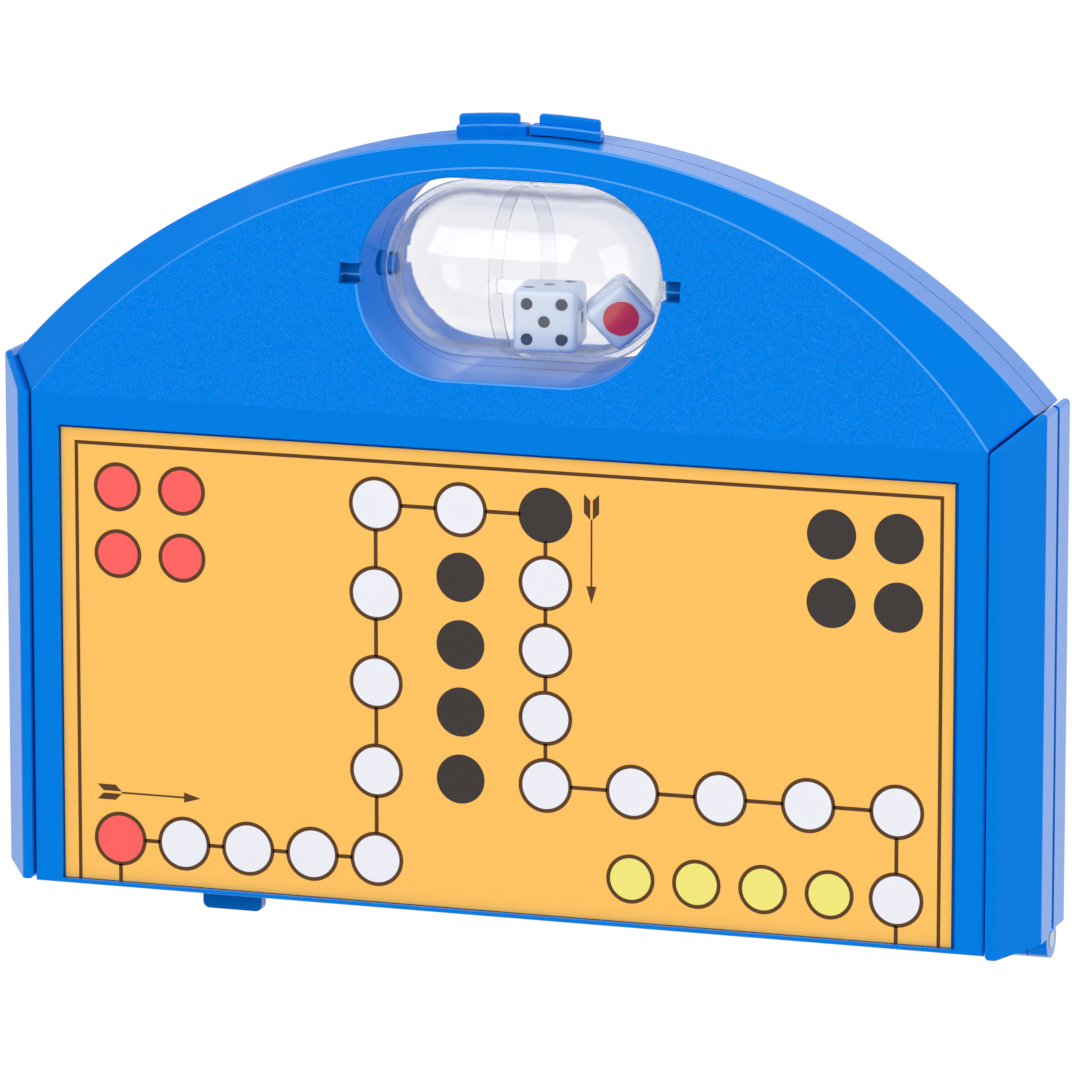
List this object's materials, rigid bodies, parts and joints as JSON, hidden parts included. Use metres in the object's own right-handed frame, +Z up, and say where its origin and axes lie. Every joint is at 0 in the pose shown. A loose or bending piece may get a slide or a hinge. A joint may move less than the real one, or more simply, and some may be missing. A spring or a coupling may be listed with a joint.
{
  "type": "folding ludo board box",
  "caption": "Folding travel ludo case: hinged half cases carry the board outside, pawns inside, and a clear turning dice capsule in a window.",
  "frame": {"origin": "centre of the bounding box on the surface the closed box stands on, below the hinge line", "axes": "+X across the board to the right seen from the front half, +Y from the front half to the back half, +Z up from the hinge to the crown"},
  "size_m": [0.1904, 0.033, 0.1432],
  "materials": {
    "case_blue": "fine satin texture above the shoulder, smooth elsewhere",
    "rail_blue": "smooth",
    "sheet_steel": "plain rolled sheet",
    "board_film": "printed film",
    "pin_steel": "plain turned pin",
    "clear_plastic": "clear, polished",
    "die_white": "polished",
    "pawn_red": "polished",
    "pawn_black": "polished",
    "pawn_yellow": "polished",
    "pawn_green": "polished",
    "magnet": "sintered ferrite disc"
  },
  "bodies": {
    "front_case": {"front_shell": "case_blue", "front_board_sheet": "sheet_steel", "front_board_print": "board_film", "front_left_rail": "rail_blue", "front_right_rail": "rail_blue", "right_hinge_pin": "pin_steel", "left_hinge_pin": "pin_steel"},
    "back_case": {"back_shell": "case_blue", "back_board_sheet": "sheet_steel", "back_board_print": "board_film", "back_left_rail": "rail_blue", "back_right_rail": "rail_blue", "red_pawn_1": "pawn_red", "red_pawn_2": "pawn_red", "red_pawn_3": "pawn_red", "red_pawn_4": "pawn_red", "black_pawn_1": "pawn_black", "black_pawn_2": "pawn_black", "black_pawn_3": "pawn_black", "black_pawn_4": "pawn_black", "yellow_pawn_1": "pawn_yellow", "yellow_pawn_2": "pawn_yellow", "yellow_pawn_3": "pawn_yellow", "yellow_pawn_4": "pawn_yellow", "green_pawn_1": "pawn_green", "green_pawn_2": "pawn_green", "green_pawn_3": "pawn_green", "green_pawn_4": "pawn_green", "red_pawn_1_magnet": "magnet", "red_pawn_2_magnet": "magnet", "red_pawn_3_magnet": "magnet", "red_pawn_4_magnet": "magnet", "black_pawn_1_magnet": "magnet", "black_pawn_2_magnet": "magnet", "black_pawn_3_magnet": "magnet", "black_pawn_4_magnet": "magnet", "yellow_pawn_1_magnet": "magnet", "yellow_pawn_2_magnet": "magnet", "yellow_pawn_3_magnet": "magnet", "yellow_pawn_4_magnet": "magnet", "green_pawn_1_magnet": "magnet", "green_pawn_2_magnet": "magnet", "green_pawn_3_magnet": "magnet", "green_pawn_4_magnet": "magnet"},
    "dice_capsule": {"capsule_left_cup": "clear_plastic", "capsule_right_cup": "clear_plastic", "number_die": "die_white", "colour_die": "die_white"}
  },
  "joints": [
    {"name": "fold", "type": "hinge", "parent": "front_case", "child": "back_case", "pos_m": [0, 0, 0.0032], "axis": [-1, 0, 0], "range_deg": [0, 180]},
    {"name": "capsule_spin", "type": "hinge", "parent": "front_case", "child": "dice_capsule", "pos_m": [0, 0, 0.1154], "axis": [1, 0, 0], "continuous": true}
  ]
}
